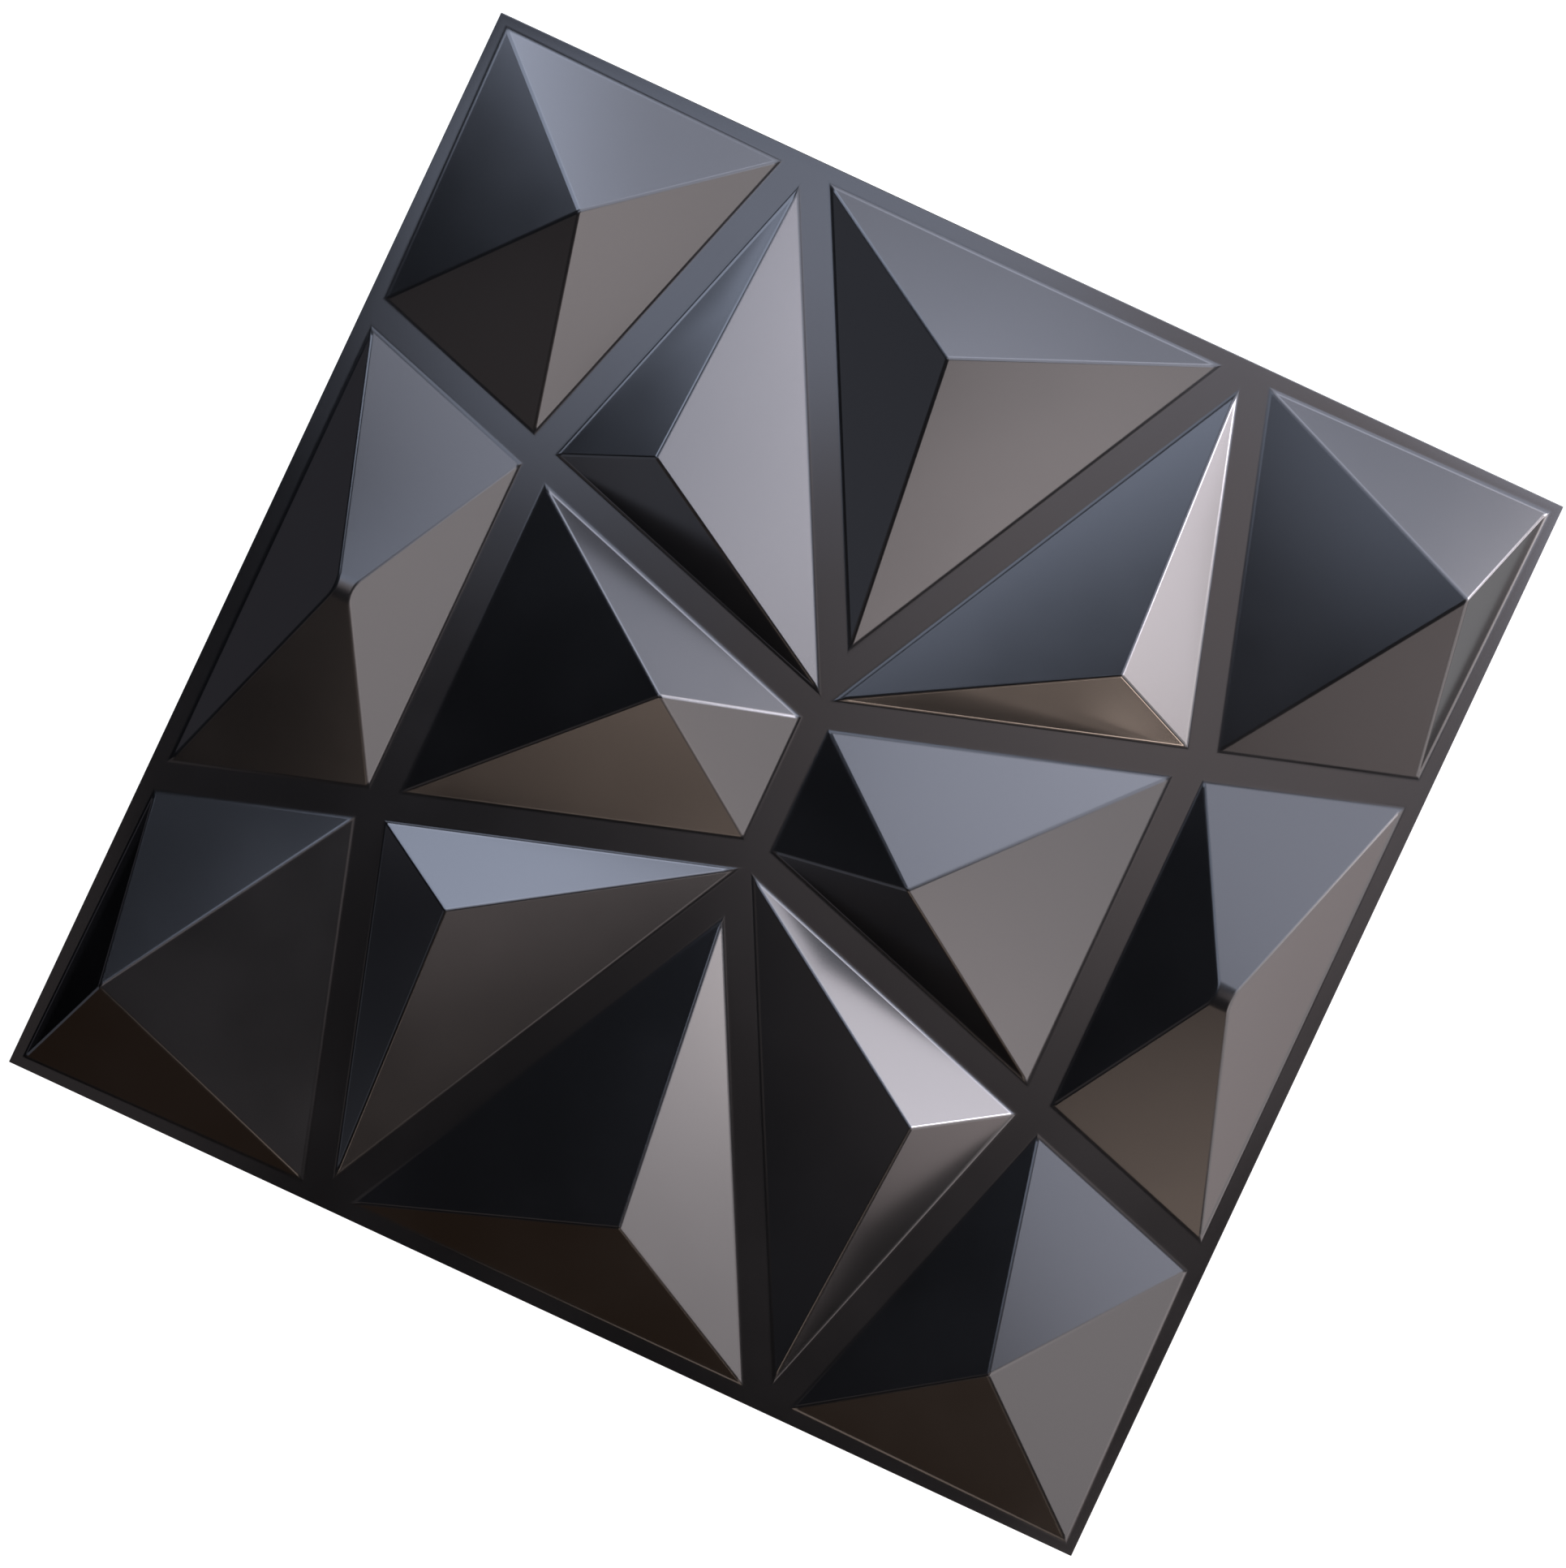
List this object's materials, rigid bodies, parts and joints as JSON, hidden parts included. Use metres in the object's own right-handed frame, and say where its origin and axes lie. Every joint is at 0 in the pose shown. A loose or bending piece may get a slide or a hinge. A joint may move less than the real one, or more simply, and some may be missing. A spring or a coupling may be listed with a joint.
{
  "type": "wall panel tile",
  "caption": "Square moulded wall tile of thin black plastic, its face a fan of off-centre pyramids parted by flat ribs, hollow behind.",
  "frame": {"origin": "middle of the flat back, in the plane that lies against the wall", "axes": "+X along the tile's top edge, +Y up the tile, +Z out of the face through the sheet"},
  "size_m": [0.3, 0.3, 0.016],
  "materials": {
    "black_plastic": "satin"
  },
  "bodies": {
    "root": {"wall_panel_tile": "black_plastic"}
  },
  "joints": []
}
